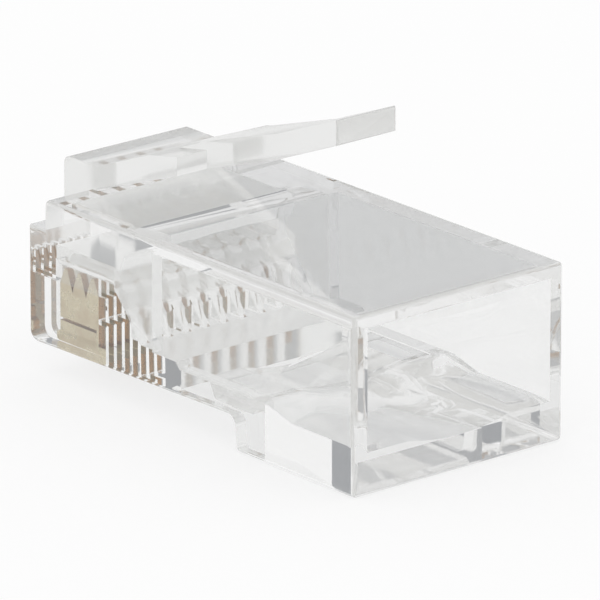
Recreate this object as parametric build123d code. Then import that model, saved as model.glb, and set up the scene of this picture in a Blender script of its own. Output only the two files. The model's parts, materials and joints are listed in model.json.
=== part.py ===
from build123d import *
import os

# Clear eight-position modular plug, as moulded and not yet crimped onto a cable.
# The nose points along -X, the cable enters at +X, the latch is on top.
# Lengths along the plug are measured back from the nose face, heights up from the base.
# All sizes are in millimetres.

# Housing, outside
body_length = 21.88
body_width = 11.68
body_height = 8.02
edge_radius = 0.22
rear_edge_radius = 0.16

# Nose
nose_bottom = 1.34
ledge_height = 6.60
ledge_depth = 1.10
nose_corner_radius = 0.50
step_radius = 0.30

# Belly between the nose and the rear block
belly_rise = 0.18
rear_block_front = 13.95
rear_block_draft = 0.12
rear_block_corner_radius = 0.25
belly_fillet = 0.50

# Cable cavity
side_wall = 0.89
roof_thickness = 0.75
cavity_front = 8.05
cavity_floor = 2.05
mouth_flare = 0.14
mouth_depth = 0.90
shelf_height = 2.77
shelf_end = 9.60
sill_height = 2.47
sill_end = 15.80
ramp_end = 17.40
cable_dish_radius = 10.00
cable_dish_bottom = 2.10
mouth_dish_radius = 12.00
mouth_dish_bottom = 1.57

# Row of wire troughs under one flat ceiling, and the guide that leads into it
wire_count = 8
wire_pitch = 1.02
channel_diameter = 0.90
channel_height = 5.30
channel_ceiling = 5.75
channel_rib_top = 5.15
channel_front = 1.00
guide_half_width = 4.40
guide_ramp_top = 5.15
guide_ramp_knee = 5.95
guide_ramp_foot = 6.95
guide_roof_rear = 7.40
guide_roof_front = 5.95
guide_roof_drop = 0.65
guide_roof_foot = 5.60
comb_front = 6.05
comb_top = 4.00
comb_gap = 0.62

# Contacts
contact_thickness = 0.33
contact_clearance = 0.02
contact_front = 0.82
contact_rear = 4.21
contact_bottom = 1.38
contact_foot_height = 0.38
contact_foot_step = 0.25
contact_heel = 0.49
contact_shoulder = 4.05
prong_height = 0.70
prong_width = 0.80
prong_valley = 0.30
contact_slit_height = 2.34
contact_slit_gap = 0.14
contact_slit_web = 0.64
contact_corner_radius = 0.16
slot_front_height = 4.05
slot_heel_room = 2.80
slot_pocket_bottom = 3.03
slot_pocket_top = 4.08

# Latch
latch_overhang = 0.62
latch_half_width = 3.31
latch_root_top = 9.12
latch_root_radius = 0.40
latch_root_bottom = 6.95
latch_root_rear = 1.70
latch_root_seam = 0.01
latch_lift = 0.03
latch_shoulder = 7.15
shoulder_top = 11.30
shoulder_thickness = 1.25
wing_ramp_start = 5.25
wing_drop = 0.22
tab_half_width = 1.65
tab_bend = 11.90
tab_bend_top = 12.80
tab_bend_thickness = 1.17
tab_end = 15.83
tab_end_top = 14.36
tab_end_thickness = 1.14
tab_edge_radius = 0.14

# Strain relief window and bar
window_front = shelf_end
window_rear = 15.20
window_half_width = 4.20
bar_front = 11.30
bar_clearance = 0.05
bar_side_gap = 0.10
bar_depth = 0.92
bar_nose_rake = 0.45
bar_web_thickness = 0.62
bar_web_length = 0.55

# Worked out from the sizes above
half_width = body_width / 2
cavity_half_width = half_width - side_wall
cavity_ceiling = body_height - roof_thickness
arm_front = latch_root_rear + latch_root_seam
arm_bottom = body_height + latch_lift
slot_half_width = contact_thickness / 2 + contact_clearance
channel_row_half_width = wire_pitch * (wire_count - 1) / 2 + channel_diameter / 2
wire_places = [wire_pitch * (i - (wire_count - 1) / 2) for i in range(wire_count)]
dish_height = cable_dish_bottom + cable_dish_radius
past = 1.0

# The origin is under the middle of the whole plug, at the height of its base.
to_frame = Location((-(body_length - latch_overhang) / 2, 0, 0))


def outline(points):
    """Closed face of a side view, given as (distance from nose, height) points."""
    return make_face(Plane.XZ * Polyline(*points, close=True))


def prism(points, half):
    """Solid of a side view, as far as half on each side of the middle."""
    return extrude(outline(points), amount=half, both=True)


def cut_box(x_low, x_high, half, z_low, z_high):
    """Box across the middle of the plug."""
    return prism([(x_low, z_low), (x_high, z_low), (x_high, z_high), (x_low, z_high)], half)


def corner_at(face, x, z):
    """The corner of a side view that is nearest to a point."""
    return face.vertices().sort_by_distance(Vector(x, 0, z))[0]


def outer_body():
    """The nose, the stepped front and the rear block, with their moulded edges rounded."""
    belly_rear = nose_bottom + belly_rise
    face = outline(
        [
            (0, nose_bottom),
            (rear_block_front, belly_rear),
            (rear_block_front + rear_block_draft, 0),
            (body_length, 0),
            (body_length, body_height),
            (ledge_depth, body_height),
            (ledge_depth, ledge_height),
            (0, ledge_height),
        ]
    )
    face = fillet(corner_at(face, 0, nose_bottom), nose_corner_radius)
    face = fillet(corner_at(face, rear_block_front, belly_rear), belly_fillet)
    face = fillet(corner_at(face, rear_block_front + rear_block_draft, 0), rear_block_corner_radius)
    face = fillet(corner_at(face, ledge_depth, body_height), min(step_radius, (body_height - ledge_height) / 2))
    body = extrude(face, amount=half_width, both=True)
    side_edges = body.faces().filter_by(Axis.Y).edges()
    body = fillet(side_edges, edge_radius)
    rear_edges = body.faces().sort_by(Axis.X)[-1].edges()
    return fillet(rear_edges, rear_edge_radius)


def latch_root():
    """The solid root of the latch, which stands on the ledge and leans out over the nose."""
    face = outline(
        [
            (0, latch_root_bottom - latch_overhang),
            (-latch_overhang, latch_root_bottom),
            (-latch_overhang, latch_root_top),
            (latch_root_rear, latch_root_top),
            (latch_root_rear, ledge_height - past),
            (0, ledge_height - past),
        ]
    )
    face = fillet(corner_at(face, -latch_overhang, latch_root_top), latch_root_radius)
    face = fillet(corner_at(face, -latch_overhang, latch_root_bottom), latch_overhang)
    return extrude(face, amount=latch_half_width, both=True)


def cable_cavity():
    """The space for the cable jacket, from its flared mouth to the shelf in front of the wires."""
    flare_low = cavity_floor - mouth_flare
    flare_high = cavity_ceiling + mouth_flare
    mouth_front = body_length - mouth_depth
    room = prism(
        [
            (cavity_front, shelf_height),
            (shelf_end, shelf_height),
            (shelf_end + shelf_height - sill_height, sill_height),
            (sill_end, sill_height),
            (ramp_end, cavity_floor),
            (body_length + past, cavity_floor),
            (body_length + past, cavity_ceiling),
            (cavity_front, cavity_ceiling),
        ],
        cavity_half_width,
    )
    small = rectangle_at(mouth_front, cavity_half_width, cavity_floor, cavity_ceiling)
    large = rectangle_at(body_length, cavity_half_width + mouth_flare, flare_low, flare_high)
    return room + loft([small, large]) + cable_dish(shelf_end, sill_end + past) + mouth_dish()


def cable_dish(x_low, x_high):
    """Shallow round trough that the cable jacket lies in, no higher than the shelf."""
    middle = Location(((x_low + x_high) / 2, 0, dish_height), (0, 90, 0))
    round_bar = middle * Cylinder(cable_dish_radius, x_high - x_low)
    return round_bar & cut_box(x_low, x_high, cavity_half_width, cable_dish_bottom, shelf_height)


def mouth_dish():
    """Deeper trough at the cable's way in, which a ramp joins to the sill."""
    length = body_length + past - sill_end
    middle = Location((sill_end + length / 2, 0, mouth_dish_bottom + mouth_dish_radius), (0, 90, 0))
    round_bar = middle * Cylinder(mouth_dish_radius, length)
    ramp = prism(
        [
            (sill_end, sill_height),
            (ramp_end, mouth_dish_bottom),
            (body_length + past, mouth_dish_bottom),
            (body_length + past, shelf_height),
            (sill_end, shelf_height),
        ],
        cavity_half_width,
    )
    return round_bar & ramp


def rectangle_at(x, half, z_low, z_high):
    """Upright rectangle across the plug, at a distance from the nose."""
    centre = Plane(origin=(x, 0, (z_low + z_high) / 2), x_dir=(0, 1, 0), z_dir=(1, 0, 0))
    return centre * Rectangle(2 * half, z_high - z_low)


def wire_guide():
    """Narrower room in front of the cavity, with a slanted roof, a steep ramp and the flat-ceilinged wire row."""
    trough_bottom = channel_height - channel_diameter / 2
    guide = prism(
        [
            (guide_ramp_top, trough_bottom),
            (guide_ramp_knee, comb_top),
            (guide_ramp_foot, shelf_height),
            (cavity_front, shelf_height),
            (cavity_front, cavity_ceiling),
            (guide_roof_rear, cavity_ceiling),
            (guide_roof_front, max(cavity_ceiling - guide_roof_drop, channel_ceiling)),
            (guide_roof_foot, channel_ceiling),
            (guide_ramp_top, channel_ceiling),
        ],
        guide_half_width,
    )
    return guide + cut_box(channel_front, guide_ramp_top, channel_row_half_width, channel_rib_top, channel_ceiling)


def wire_channel(y):
    """Round-bottomed trough for one wire over one contact, and the gap in the comb on the ramp."""
    length = guide_ramp_top - channel_front
    centre = Location((channel_front + length / 2, y, channel_height), (0, 90, 0))
    trough = centre * Cylinder(channel_diameter / 2, length)
    gap = cut_box(comb_front, cavity_front, comb_gap / 2, shelf_height, comb_top)
    return trough + Location((0, y, 0)) * gap


def contact_slot(y):
    """Slot for one contact, open at the belly and at the nose, and up into its wire channel."""
    front = contact_front - contact_clearance
    rear = contact_rear + contact_clearance
    body_rear = rear - contact_heel
    top = channel_height - channel_diameter / 4
    slot = prism(
        [
            (-past, nose_bottom - past),
            (rear, nose_bottom - past),
            (rear, slot_heel_room),
            (body_rear, slot_heel_room),
            (body_rear, slot_pocket_bottom),
            (rear, slot_pocket_bottom),
            (rear, slot_pocket_top),
            (body_rear, slot_pocket_top),
            (body_rear, top),
            (front, top),
            (front, slot_front_height),
            (-past, slot_front_height),
        ],
        slot_half_width,
    )
    return Location((0, y, 0)) * slot


def strain_relief_window():
    """Opening through the floor, from the belly to the cavity, that the bar lies in."""
    return cut_box(window_front, window_rear, window_half_width, -past, cavity_ceiling - roof_thickness)


def make_housing():
    """The whole clear moulding."""
    housing = outer_body() + latch_root()
    housing -= cable_cavity()
    housing -= wire_guide()
    housing -= strain_relief_window()
    for y in wire_places:
        housing -= wire_channel(y)
        housing -= contact_slot(y)
    return housing


def make_latch():
    """The arm: a wide locking part with two shoulders, and a narrower tab bent up at its end."""
    wide = prism(
        [
            (arm_front, latch_root_top),
            (latch_shoulder, shoulder_top),
            (latch_shoulder, shoulder_top - shoulder_thickness),
            (arm_front, arm_bottom),
        ],
        latch_half_width,
    )
    arm_slope = (shoulder_top - latch_root_top) / (latch_shoulder - arm_front)
    ramp_start_top = shoulder_top - arm_slope * (latch_shoulder - wing_ramp_start)
    ramp = prism(
        [
            (wing_ramp_start, ramp_start_top),
            (latch_shoulder + past, shoulder_top - wing_drop),
            (latch_shoulder + past, shoulder_top + past),
            (wing_ramp_start, shoulder_top + past),
        ],
        latch_half_width + past,
    )
    spine = cut_box(wing_ramp_start - past, latch_shoulder + past, tab_half_width, body_height, tab_end_top)
    wide -= ramp - spine
    tab_face = outline(
        [
            (wing_ramp_start, ramp_start_top - shoulder_thickness / 2),
            (latch_shoulder, shoulder_top),
            (tab_bend, tab_bend_top),
            (tab_end, tab_end_top),
            (tab_end, tab_end_top - tab_end_thickness),
            (tab_bend, tab_bend_top - tab_bend_thickness),
            (latch_shoulder, shoulder_top - shoulder_thickness),
        ]
    )
    tab = extrude(tab_face, amount=tab_half_width, both=True)
    end_edges = tab.faces().sort_by(Axis.X)[-1].edges()
    tab = fillet(end_edges, tab_edge_radius)
    return wide + tab


def make_bar():
    """Strain relief bar, dished like the sill, which hangs in the window on a thin web at its rear."""
    rear = window_rear - bar_clearance
    bottom = sill_height - bar_depth
    web_bottom = sill_height - bar_web_thickness
    bar = prism(
        [
            (bar_front, sill_height),
            (rear, sill_height),
            (rear, web_bottom),
            (rear - bar_web_length, web_bottom),
            (rear - bar_web_length - bar_depth + bar_web_thickness, bottom),
            (bar_front + bar_nose_rake, bottom),
        ],
        window_half_width - bar_side_gap,
    )
    return bar - cable_dish(bar_front, rear)


def contact_outline():
    """Side view of one blade: foot, spring slit, and three prongs on top."""
    front = contact_front + contact_foot_step
    rear = contact_rear - contact_heel
    foot_top = contact_bottom + contact_foot_height
    slit_end = contact_rear - contact_slit_web
    slit_top = contact_slit_height + contact_slit_gap
    valley = contact_shoulder - prong_valley
    tip = contact_shoulder + prong_height
    prong_pitch = (rear - front - prong_width) / 2
    points = [
        (contact_front, contact_bottom),
        (contact_rear, contact_bottom),
        (contact_rear, foot_top),
        (rear, foot_top),
        (rear, contact_shoulder),
    ]
    for i in (2, 1, 0):
        left = front + i * prong_pitch
        points += [
            (left + prong_width * 0.62, tip),
            (left + prong_width * 0.38, tip),
            (left, contact_shoulder),
        ]
        if i > 0:
            points.append((left - (prong_pitch - prong_width) / 2, valley))
    points += [
        (front, slit_top),
        (slit_end, slit_top),
        (slit_end, contact_slit_height),
        (front, contact_slit_height),
        (front, foot_top + contact_foot_step / 2),
        (contact_front, foot_top),
    ]
    face = outline(points)
    return fillet(corner_at(face, contact_front, contact_bottom), contact_corner_radius)


def make_contact(y):
    """One gold-plated blade in its slot."""
    blade = extrude(contact_outline(), amount=contact_thickness / 2, both=True)
    return Location((0, y, 0)) * blade


os.makedirs("parts", exist_ok=True)
pieces = {"housing": make_housing(), "latch_tab": make_latch(), "strain_relief_bar": make_bar()}
for number, place in enumerate(wire_places, start=1):
    pieces[f"contact_{number}"] = make_contact(place)
for name, piece in pieces.items():
    export_step(to_frame * piece, f"parts/{name}.step")
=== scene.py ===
import json
import math

import bmesh
import bpy
import numpy as np
from bpy.props import FloatProperty, FloatVectorProperty, PointerProperty
from mathutils import Matrix, Vector


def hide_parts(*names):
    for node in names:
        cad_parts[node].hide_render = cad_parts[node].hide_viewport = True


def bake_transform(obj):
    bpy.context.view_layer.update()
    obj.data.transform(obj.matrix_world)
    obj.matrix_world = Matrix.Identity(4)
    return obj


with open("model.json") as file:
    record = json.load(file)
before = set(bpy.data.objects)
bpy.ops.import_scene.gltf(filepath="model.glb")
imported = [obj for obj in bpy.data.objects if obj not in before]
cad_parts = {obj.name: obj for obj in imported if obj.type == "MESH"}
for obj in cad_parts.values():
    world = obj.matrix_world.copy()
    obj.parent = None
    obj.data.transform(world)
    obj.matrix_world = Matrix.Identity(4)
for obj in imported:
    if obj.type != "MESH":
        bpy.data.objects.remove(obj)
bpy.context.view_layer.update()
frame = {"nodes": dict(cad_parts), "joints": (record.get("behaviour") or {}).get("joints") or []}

bl_info = {
    "name": "Clear modular plug",
    "version": (1, 0, 0),
    "blender": (4, 5, 0),
    "location": "3D View > Sidebar > Plug",
    "description": "Dresses a clear modular plug: moulding, strain relief bar, contacts and studio",
    "category": "Object",
}

MM = 0.001
CONTACTS = sorted(name for name in frame["nodes"] if name.startswith("contact_"))

# Places on the plug in mm, where one finish of the moulding ends and the next begins
# x runs along the plug from the nose, y across it and z up from its base

# The wire guide with its troughs, up to its roof, which is polished
GUIDE_FRONT, GUIDE_REAR = -9.70, -2.60
GUIDE_LOW, GUIDE_HIGH, GUIDE_HALF_WIDTH = 4.02, 7.20, 4.45
GUIDE_ROOF, ROOF_INSET = 5.80, 0.1

# The shelf in front of the strain relief bar, and the wall of its window
SHELF_FRONT, SHELF_REAR, SHELF_HEIGHT = -3.70, -0.80, 2.77
SHELF_REAR_WALL = -1.03
SHELF_REACH, WALL_REACH = 0.05, 0.02

# The latch and its root stand above the body and in front of it
BODY_TOP, LEDGE, NOSE_WALL = 8.02, 6.60, -9.45
LATCH_GAP = 0.05

# The dished sill in the mouth, and the base
MOUTH_FRONT, MOUTH_HALF_WIDTH, MOUTH_LOW, MOUTH_HIGH = -1.00, 4.90, 1.30, 2.75
BASE_REACH = 0.01

# The joining of housing and latch, in mm
WELD = 0.0005
ARM_FRONT_REACH, ARM_OVERLAP = 0.005, 0.08
ROOT_HEIGHT = 2.95
CREASE = math.radians(42)

# Numbers of the materials: noise is per metre, and each pair is where a smooth step begins and ends
WAVE_SCALE = 420.0
CROSSINGS_STEP = (3.0, 14.0)
BLOTCH_SCALE, BLOTCH_STEP, BLOTCH_WEAR, BLOTCH_ROUGHNESS = 1500.0, (0.4, 0.7), 0.25, 0.12
SIDE_STEP = (0.5, 0.9)
GRAIN_SCALE, GRAIN_DEPTH, GRAIN_STRENGTH = 9000.0, 0.002, 0.5

# The dim room: its lower and upper edge by a direction's height, its sides by the angle to its middle
TABLE_STEP, SOFTBOX_STEP, ROOM_STEP = (0.04, 0.14), (0.42, 0.60), (0.55, 0.80)

# Sockets of a Mix node set to colours, whose names repeat
MIX_SHARE, MIX_FIRST, MIX_SECOND, MIX_RESULT = 0, 6, 7, 2

WHITE = (1.0, 1.0, 1.0, 1.0)
DEEPEST_PATH, GLOSS_PATH = 32, 16
SENSOR_WIDTH = 36.0
NEAREST_SEEN = 0.01


# Shader maths

class Wire:
    """A value in a node tree. Arithmetic on it adds the Math nodes that work the result out."""

    def __init__(self, graph, socket):
        self.graph = graph
        self.socket = socket

    def math(self, operation, *others):
        """The result of a Math node whose first value is this one."""
        values = {i + 1: other for i, other in enumerate(others)}
        return self.graph.node("ShaderNodeMath", {"operation": operation}, {0: self, **values})

    def __add__(self, other):
        return self.math("ADD", other)

    __radd__ = __add__

    def __sub__(self, other):
        return self.math("SUBTRACT", other)

    def __rsub__(self, other):
        return self.graph.node("ShaderNodeMath", {"operation": "SUBTRACT"}, {0: other, 1: self})

    def __mul__(self, other):
        return self.math("MULTIPLY", other)

    __rmul__ = __mul__

    def smooth(self, low, high):
        """0 below low, 1 above high, with a smooth step between them."""
        values = {"Value": self, "From Min": low, "From Max": high}
        return self.graph.node("ShaderNodeMapRange", {"interpolation_type": "SMOOTHSTEP"}, values)


class Graph:
    """The node tree of a material or world, started afresh."""

    def __init__(self, owner):
        owner.use_nodes = True
        self.tree = owner.node_tree
        self.tree.nodes.clear()

    def node(self, kind, settings=None, inputs=None, output=0):
        """Adds a node with its settings and inputs, and returns one of its outputs, by name or number."""
        made = self.tree.nodes.new(kind)
        for name, value in (settings or {}).items():
            setattr(made, name, value)
        for name, value in (inputs or {}).items():
            if isinstance(value, Wire):
                self.tree.links.new(value.socket, made.inputs[name])
            else:
                made.inputs[name].default_value = value
        return Wire(self, made.outputs[output]) if len(made.outputs) else None


def srgb(red, green, blue):
    """A colour of a picture, each part from 0 to 255, as the linear colour that a shader takes."""
    def linear(part):
        part /= 255
        return part / 12.92 if part <= 0.04045 else ((part + 0.055) / 1.055) ** 2.4

    return (linear(red), linear(green), linear(blue), 1.0)


# Settings that a user would change

class PlugPlasticSettings(bpy.types.PropertyGroup):
    """Look of the clear plastic, with a roughness for each finish that the mould gives"""

    ior: FloatProperty(
        name="Refractive index", description="How strongly the plastic bends light",
        default=1.585, min=1.3, max=1.8,
    )
    roughness: FloatProperty(
        name="Roughness", description="Haze of the polished surfaces", default=0.015, min=0.0, max=0.3
    )
    tint: FloatVectorProperty(
        name="Tint", description="Share of light that each surface passes", size=4, subtype="COLOR",
        default=(0.93, 0.932, 0.93, 1.0), min=0.0, max=1.0,
    )
    # Haze is partly the plastic's real cloudiness and partly painted glow: a share of each surface shows a
    # fixed grey emission instead of light scattered inside
    haze_glow: FloatProperty(
        name="Haze", default=0.045, min=0.0, max=1.0,
        description="Share of the look of each surface that is the plastic's own faint cloudiness",
    )
    # More painted glow on light that has crossed the plastic many times
    deep_haze_glow: FloatProperty(
        name="Deep haze", description="Further share on light that has crossed the plastic many times",
        default=0.20, min=0.0, max=1.0,
    )
    frost: FloatProperty(
        name="Frost", default=0.15, min=0.0, max=1.0,
        description="Roughness of the wire guide and its troughs, which the mould leaves matt",
    )
    # Share of painted glow on the matt surfaces
    frost_haze_glow: FloatProperty(
        name="Frost haze", description="Haze of those matt surfaces", default=0.25, min=0.0, max=1.0
    )
    satin: FloatProperty(
        name="Satin", description="Roughness of the latch, which is less polished than the body",
        default=0.14, min=0.0, max=1.0,
    )
    # Share of painted glow on the latch
    satin_haze_glow: FloatProperty(
        name="Satin haze", description="Haze of the latch", default=0.20, min=0.0, max=1.0
    )
    worn_gloss: FloatProperty(
        name="Worn gloss", description="Roughness of the sill, the base and the strain relief bar",
        default=0.035, min=0.0, max=1.0,
    )
    # Colour of the painted glow, a grey emission that stands in for light scattered inside the plastic
    painted_glow: FloatVectorProperty(
        name="Cloud", description="Colour of the light that the cloudiness sends on",
        size=4, subtype="COLOR", default=srgb(216, 216, 214), min=0.0, max=1.0,
    )
    ripple: FloatProperty(
        name="Ripple", description="Depth of the flow waves left by moulding",
        default=0.004 * MM, unit="LENGTH", precision=6,
    )


class PlugContactSettings(bpy.types.PropertyGroup):
    """Look of the eight blades"""

    gold: FloatVectorProperty(
        name="Plating", description="Colour of the plated blades", size=4, subtype="COLOR",
        default=srgb(214, 202, 172), min=0.0, max=1.0,
    )
    worn: FloatVectorProperty(
        name="Cut edge", description="Colour of the stamped edges where the base metal shows",
        size=4, subtype="COLOR", default=srgb(168, 128, 84), min=0.0, max=1.0,
    )
    roughness: FloatProperty(
        name="Roughness", description="Roughness of the plating", default=0.22, min=0.02, max=1.0
    )


class PlugStageSettings(bpy.types.PropertyGroup):
    """Floor, room and camera of the photograph"""

    floor_size: FloatProperty(
        name="Floor size", description="Side of the square floor", default=6.0, unit="LENGTH"
    )
    floor_colour: FloatVectorProperty(
        name="Floor", description="Colour of the pale floor", size=4, subtype="COLOR",
        default=(0.94, 0.94, 0.94, 1.0), min=0.0, max=1.0,
    )
    floor_gap: FloatProperty(
        name="Floor gap", description="Air under the plug, so that its base mirrors as a dry one does",
        default=0.03 * MM, unit="LENGTH", precision=5,
    )
    floor_glow: FloatProperty(
        name="Floor glow", default=0.75, min=0.0, max=1.0,
        description="Share of the floor's look that is plain white, so that its shadow is faint",
    )
    room_shade: FloatProperty(
        name="Room shade", default=0.78, min=0.0, max=1.0,
        description="Share of the dim room that gloss and glass see between table and softbox",
    )
    room_colour: FloatVectorProperty(
        name="Room", description="Colour of the dim room behind the table", size=4, subtype="COLOR",
        default=(0.07, 0.085, 0.11, 1.0), min=0.0, max=1.0,
    )
    dark_side: FloatProperty(
        name="Dark side", default=math.radians(50.0), subtype="ANGLE",
        description="Way to the dim room; the camera's azimuth puts it straight behind the plug",
    )
    daylight: FloatProperty(
        name="Light", description="Strength of the even light on the object", default=1.0, min=0.0, max=5.0
    )
    azimuth: FloatProperty(
        name="Azimuth", description="Way the camera stands, from straight ahead",
        default=math.radians(50.035), subtype="ANGLE",
    )
    elevation: FloatProperty(
        name="Elevation", description="Height angle of the camera",
        default=math.radians(18.699), subtype="ANGLE",
    )
    roll: FloatProperty(
        name="Roll", description="Turn of the camera about its own line of sight",
        default=math.radians(0.031), subtype="ANGLE",
    )
    distance: FloatProperty(
        name="Distance", description="Camera to the point that it looks at",
        default=421.53 * MM, unit="LENGTH",
    )
    focal_share: FloatProperty(
        name="Focal share", description="Focal length as a multiple of the picture's width",
        default=16.3689,
    )
    aim_along: FloatProperty(
        name="Aim along", description="Aim point along the plug, from the middle of its box",
        default=0.777 * MM, unit="LENGTH", precision=5,
    )
    aim_height: FloatProperty(
        name="Aim height", description="Height of the aim point",
        default=4.841 * MM, unit="LENGTH", precision=5,
    )


# Materials

def seen_directly(graph):
    """1 for camera rays and for those that gloss or glass sends on, 0 for light on dull surfaces."""
    kinds = ("Is Camera Ray", "Is Glossy Ray", "Is Transmission Ray")
    camera, glossy, transmitted = (graph.node("ShaderNodeLightPath", output=kind) for kind in kinds)
    return camera.math("MAXIMUM", glossy).math("MAXIMUM", transmitted)


def clear_plastic(settings, name, roughness, haze_glow):
    """Slightly cloudy clear plastic with very faint waves in its surface, as moulding leaves them.

    The cloudiness is partly painted glow: a grey emission that stands in for light scattered inside the
    plastic, so it grows with the ray's crossings.
    """
    material = bpy.data.materials.new(name)
    graph = Graph(material)
    place = graph.node("ShaderNodeTexCoord", output="Object")
    waves = graph.node("ShaderNodeTexNoise", {}, {"Vector": place, "Scale": WAVE_SCALE, "Detail": 1.0})
    bump = graph.node("ShaderNodeBump", {}, {"Height": waves, "Distance": settings.ripple, "Strength": 1.0})
    shader = graph.node(
        "ShaderNodeBsdfPrincipled",
        {},
        {
            "Base Color": settings.tint,
            "Roughness": roughness,
            "IOR": settings.ior,
            "Transmission Weight": 1.0,
            "Normal": bump,
        },
    )
    # Painted glow: a grey emission in place of light scattered inside the plastic, with a larger share on
    # rays that have crossed it many times
    painted_glow = graph.node("ShaderNodeEmission", {}, {"Color": settings.painted_glow, "Strength": 1.0})
    crossings = graph.node("ShaderNodeLightPath", output="Ray Depth")
    share = haze_glow + settings.deep_haze_glow * crossings.smooth(*CROSSINGS_STEP)
    hazy_glow = graph.node("ShaderNodeMixShader", {}, {0: share, 1: shader, 2: painted_glow})
    graph.node("ShaderNodeOutputMaterial", {}, {"Surface": hazy_glow})
    return material


def plated_metal(settings):
    """Gold flash over bronze: smooth plating on the flat sides, browner where the blade was cut."""
    material = bpy.data.materials.new("plated_contact")
    graph = Graph(material)
    place = graph.node("ShaderNodeTexCoord", output="Object")
    blotches = graph.node("ShaderNodeTexNoise", {}, {"Vector": place, "Scale": BLOTCH_SCALE, "Detail": 3.0})
    normal = graph.node("ShaderNodeNewGeometry", output="Normal")
    sideways = graph.node("ShaderNodeSeparateXYZ", {}, {"Vector": normal}, output="Y")
    side = sideways.math("ABSOLUTE").smooth(*SIDE_STEP)
    share = side * (1.0 - BLOTCH_WEAR * blotches.smooth(*BLOTCH_STEP))
    colour = graph.node(
        "ShaderNodeMix",
        {"data_type": "RGBA"},
        {MIX_SHARE: share, MIX_FIRST: settings.worn, MIX_SECOND: settings.gold},
        output=MIX_RESULT,
    )
    grain = graph.node("ShaderNodeTexNoise", {}, {"Vector": place, "Scale": GRAIN_SCALE, "Detail": 2.0})
    bump = graph.node(
        "ShaderNodeBump", {}, {"Height": grain, "Distance": GRAIN_DEPTH * MM, "Strength": GRAIN_STRENGTH}
    )
    shader = graph.node(
        "ShaderNodeBsdfPrincipled",
        {},
        {
            "Base Color": colour,
            "Metallic": 1.0,
            "Roughness": settings.roughness + BLOTCH_ROUGHNESS * blotches,
            "Normal": bump,
        },
    )
    graph.node("ShaderNodeOutputMaterial", {}, {"Surface": shader})
    return material


# Meshes

def merged_copy(node, name):
    """A copy of a CAD node's mesh with its loose triangles joined at their corners."""
    mesh = frame["nodes"][node].data.copy()
    mesh.name = name
    mesh.materials.clear()
    work = bmesh.new()
    work.from_mesh(mesh)
    bmesh.ops.remove_doubles(work, verts=work.verts, dist=WELD * MM)
    work.to_mesh(mesh)
    work.free()
    return mesh


def show(name, mesh):
    """Puts a mesh into the scene as an object at the origin."""
    piece = bpy.data.objects.new(name, mesh)
    bpy.context.scene.collection.objects.link(piece)
    return piece


def soften(piece, angle):
    """Smooth shading across edges flatter than the angle, with large flat faces kept flat."""
    mesh = piece.data
    mesh.polygons.foreach_set("use_smooth", np.ones(len(mesh.polygons), bool))
    work = bmesh.new()
    work.from_mesh(mesh)
    for edge in work.edges:
        edge.smooth = len(edge.link_faces) == 2 and edge.calc_face_angle() < angle
    work.to_mesh(mesh)
    work.free()
    flat = piece.modifiers.new("flat faces", "WEIGHTED_NORMAL")
    flat.keep_sharp = True


def baked(piece, name):
    """The mesh that a piece has after its modifiers."""
    shape = piece.evaluated_get(bpy.context.evaluated_depsgraph_get())
    mesh = bpy.data.meshes.new_from_object(shape)
    mesh.name = name
    return mesh


def one_moulding():
    """Housing and latch united, with the arm's front face moved a little into the root for an overlap."""
    housing = show("housing_blank", merged_copy("housing", "housing_blank"))
    arm = show("arm_blank", merged_copy("latch_tab", "arm_blank"))
    count = len(arm.data.vertices)
    places = np.empty(count * 3, np.float32)
    arm.data.vertices.foreach_get("co", places)
    places = places.reshape(-1, 3)
    front = places[:, 0].min()
    places[places[:, 0] < front + ARM_FRONT_REACH * MM, 0] -= ARM_OVERLAP * MM
    arm.data.vertices.foreach_set("co", places.ravel())
    unite = housing.modifiers.new("unite", "BOOLEAN")
    unite.operation = "UNION"
    unite.solver = "EXACT"
    unite.object = arm
    mesh = baked(housing, "clear_moulding")
    for blank in (housing, arm):
        bpy.data.objects.remove(blank)
    return mesh


def finishes(mesh):
    """The finish of each face, by where its middle lies: a place in the list of the moulding's materials.

    0 is polished, 1 matt (wire guide, shelf and window wall), 2 satin (latch), 3 soft (sill and base).
    """
    middles = np.empty(len(mesh.polygons) * 3, np.float32)
    mesh.polygons.foreach_get("center", middles)
    along, across, height = middles.reshape(-1, 3).T / MM
    aside = np.abs(across)
    behind_nose = (along > GUIDE_FRONT) & (along < GUIDE_REAR)
    between_walls = (aside < GUIDE_HALF_WIDTH) & (height > GUIDE_LOW) & (height < GUIDE_HIGH)
    roof = (height > GUIDE_ROOF) & (aside < GUIDE_HALF_WIDTH - ROOF_INSET)
    on_shelf = (along > SHELF_FRONT) & (along < SHELF_REAR) & (np.abs(height - SHELF_HEIGHT) < SHELF_REACH)
    on_window_wall = (np.abs(along - SHELF_REAR_WALL) < WALL_REACH) & (height < SHELF_HEIGHT)
    matt = (behind_nose & between_walls & ~roof) | on_shelf | on_window_wall
    on_root = (along < NOSE_WALL) & (height > LEDGE + LATCH_GAP)
    on_latch = (height > BODY_TOP + LATCH_GAP) | on_root
    in_mouth = (along > MOUTH_FRONT) & (aside < MOUTH_HALF_WIDTH)
    on_sill = in_mouth & (height > MOUTH_LOW) & (height < MOUTH_HIGH)
    on_base = height < BASE_REACH
    return np.select((matt, on_latch, on_sill | on_base), (1, 2, 3), 0).astype(np.int32)


# Operators

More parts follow.
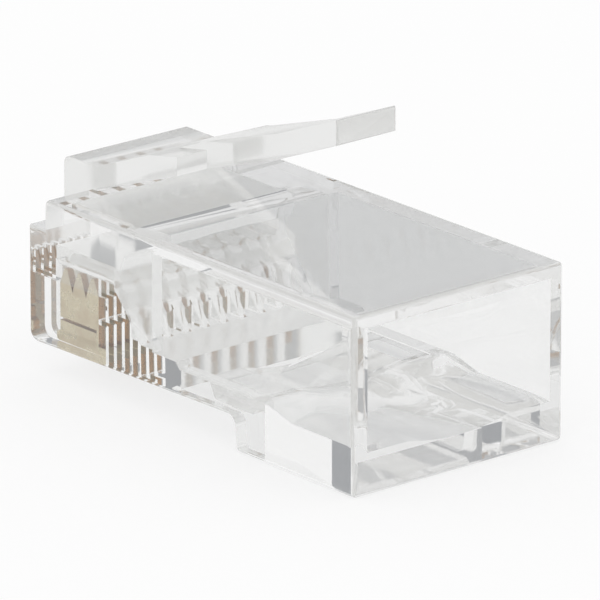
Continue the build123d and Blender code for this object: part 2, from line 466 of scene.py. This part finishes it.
class PLUG_OT_moulding(bpy.types.Operator):
    """Clear moulding: housing and latch in one closed mesh"""

    bl_idname = "plug.moulding"
    bl_label = "Clear moulding"

    def execute(self, context):
        piece = show("clear_moulding", one_moulding())
        soften(piece, CREASE)
        settings = context.scene.plug_plastic
        # Each finish: its roughness and its share of painted glow for the plastic's cloudiness
        kinds = (
            ("clear_plastic", settings.roughness, settings.haze_glow),
            ("matt_plastic", settings.frost, settings.frost_haze_glow),
            ("satin_plastic", settings.satin, settings.satin_haze_glow),
            ("soft_plastic", settings.worn_gloss, settings.haze_glow),
        )
        for name, roughness, haze_glow in kinds:
            piece.data.materials.append(clear_plastic(settings, name, roughness, haze_glow))
        piece.data.polygons.foreach_set("material_index", finishes(piece.data))
        hinge = next(joint for joint in frame["joints"] if joint["name"] == "latch_flex")
        along, across, height = hinge["pos_m"]
        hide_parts("housing", "latch_tab")
        height + ROOT_HEIGHT * MM
        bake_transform(piece)
        return {"FINISHED"}


class PLUG_OT_bar(bpy.types.Operator):
    """Strain relief bar in the moulding's soft finish, whose material the moulding's operator makes"""

    bl_idname = "plug.bar"
    bl_label = "Strain relief bar"

    def execute(self, context):
        node = frame["nodes"]["strain_relief_bar"]
        node.data.materials.clear()
        node.data.materials.append(bpy.data.materials["soft_plastic"])
        return {"FINISHED"}


class PLUG_OT_contacts(bpy.types.Operator):
    """Plated blades in their slots"""

    bl_idname = "plug.contacts"
    bl_label = "Contacts"

    def execute(self, context):
        plating = plated_metal(context.scene.plug_contact)
        for name in CONTACTS:
            node = frame["nodes"][name]
            node.data.materials.clear()
            node.data.materials.append(plating)
        return {"FINISHED"}


class PLUG_OT_stage(bpy.types.Operator):
    """Pale floor, studio light and the camera at the photograph's angle"""

    bl_idname = "plug.stage"
    bl_label = "Stage"

    def execute(self, context):
        scene = context.scene
        settings = scene.plug_stage
        self.floor(settings)
        self.studio(scene, settings)
        self.camera(scene, settings)
        scene.view_settings.view_transform = "Standard"
        scene.cycles.max_bounces = DEEPEST_PATH
        scene.cycles.transmission_bounces = DEEPEST_PATH
        scene.cycles.glossy_bounces = GLOSS_PATH
        return {"FINISHED"}

    @staticmethod
    def floor(settings):
        """Flat square under the plug."""
        half = settings.floor_size / 2
        mesh = bpy.data.meshes.new("floor")
        outline = ((-half, -half), (half, -half), (half, half), (-half, half))
        corners = [(x, y, -settings.floor_gap) for x, y in outline]
        mesh.from_pydata(corners, [], [(0, 1, 2, 3)])
        floor = show("floor", mesh)
        material = bpy.data.materials.new("pale_floor")
        graph = Graph(material)
        dull = graph.node("ShaderNodeBsdfDiffuse", {}, {"Color": settings.floor_colour})
        white = graph.node("ShaderNodeEmission", {}, {"Color": WHITE, "Strength": 1.0})
        share = settings.floor_glow * seen_directly(graph)
        shader = graph.node("ShaderNodeMixShader", {}, {0: share, 1: dull, 2: white})
        graph.node("ShaderNodeOutputMaterial", {}, {"Surface": shader})
        mesh.materials.append(material)

    @staticmethod
    def studio(scene, settings):
        """White to the camera, even light on dull surfaces, and a dim room on one side for gloss."""
        world = bpy.data.worlds.new("studio")
        scene.world = world
        graph = Graph(world)
        way = graph.node("ShaderNodeTexCoord", output="Generated")
        height = graph.node("ShaderNodeSeparateXYZ", {}, {"Vector": way}, output="Z")
        turn = settings.dark_side
        side = (-math.sin(turn), math.cos(turn), 0.0)
        facing = graph.node(
            "ShaderNodeVectorMath", {"operation": "DOT_PRODUCT"}, {0: way, 1: side}, output="Value"
        )
        above_table = height.smooth(*TABLE_STEP)
        below_softbox = 1.0 - height.smooth(*SOFTBOX_STEP)
        room = above_table * below_softbox * facing.smooth(*ROOM_STEP)
        to_camera = graph.node("ShaderNodeLightPath", output="Is Camera Ray")
        shown = seen_directly(graph)
        dim = settings.room_shade * room * (shown - to_camera)
        strength = shown + (1.0 - shown) * settings.daylight
        colour = graph.node(
            "ShaderNodeMix",
            {"data_type": "RGBA"},
            {MIX_SHARE: dim, MIX_FIRST: WHITE, MIX_SECOND: settings.room_colour},
            output=MIX_RESULT,
        )
        sky = graph.node("ShaderNodeBackground", {}, {"Color": colour, "Strength": strength})
        graph.node("ShaderNodeOutputWorld", {}, {"Surface": sky})

    @staticmethod
    def camera(scene, settings):
        """Looks at the aim point from the given angles and distance."""
        lens = bpy.data.cameras.new("camera")
        lens.sensor_width = SENSOR_WIDTH
        lens.lens = SENSOR_WIDTH * settings.focal_share
        lens.clip_start = NEAREST_SEEN
        camera = bpy.data.objects.new("camera", lens)
        scene.collection.objects.link(camera)
        turn = settings.azimuth
        lift = settings.elevation
        back = Vector((math.sin(turn) * math.cos(lift), -math.cos(turn) * math.cos(lift), math.sin(lift)))
        right = Vector((0, 0, 1)).cross(back).normalized()
        up = back.cross(right)
        axes = Matrix((right, up, back)).transposed().to_4x4()
        aim = Vector((settings.aim_along, 0, settings.aim_height))
        spin = Matrix.Rotation(settings.roll, 4, "Z")
        camera.matrix_world = Matrix.Translation(aim + back * settings.distance) @ axes @ spin
        scene.camera = camera


class PLUG_PT_panel(bpy.types.Panel):
    """Lists the plug's pieces and their settings"""

    bl_label = "Modular plug"
    bl_idname = "PLUG_PT_panel"
    bl_space_type = "VIEW_3D"
    bl_region_type = "UI"
    bl_category = "Plug"

    def draw(self, context):
        layout = self.layout
        for operator in OPERATORS:
            layout.operator(operator.bl_idname)
        for name in SETTINGS:
            group = getattr(context.scene, name)
            box = layout.box()
            for key in group.bl_rna.properties.keys():
                if key not in ("rna_type", "name"):
                    box.prop(group, key)


OPERATORS = (PLUG_OT_moulding, PLUG_OT_bar, PLUG_OT_contacts, PLUG_OT_stage)
SETTINGS = {
    "plug_plastic": PlugPlasticSettings,
    "plug_contact": PlugContactSettings,
    "plug_stage": PlugStageSettings,
}


def register():
    """Adds the settings, operators and panel to Blender."""
    for owner in (*SETTINGS.values(), *OPERATORS, PLUG_PT_panel):
        bpy.utils.register_class(owner)
    for name, group in SETTINGS.items():
        setattr(bpy.types.Scene, name, PointerProperty(type=group))


def unregister():
    """Takes them out again, in reverse order."""
    for name in SETTINGS:
        delattr(bpy.types.Scene, name)
    for owner in (PLUG_PT_panel, *reversed(OPERATORS), *reversed(SETTINGS.values())):
        bpy.utils.unregister_class(owner)


def main():
    register()
    bpy.ops.plug.moulding()
    bpy.ops.plug.bar()
    bpy.ops.plug.contacts()
    bpy.ops.plug.stage()


if __name__ == "__main__":
    main()
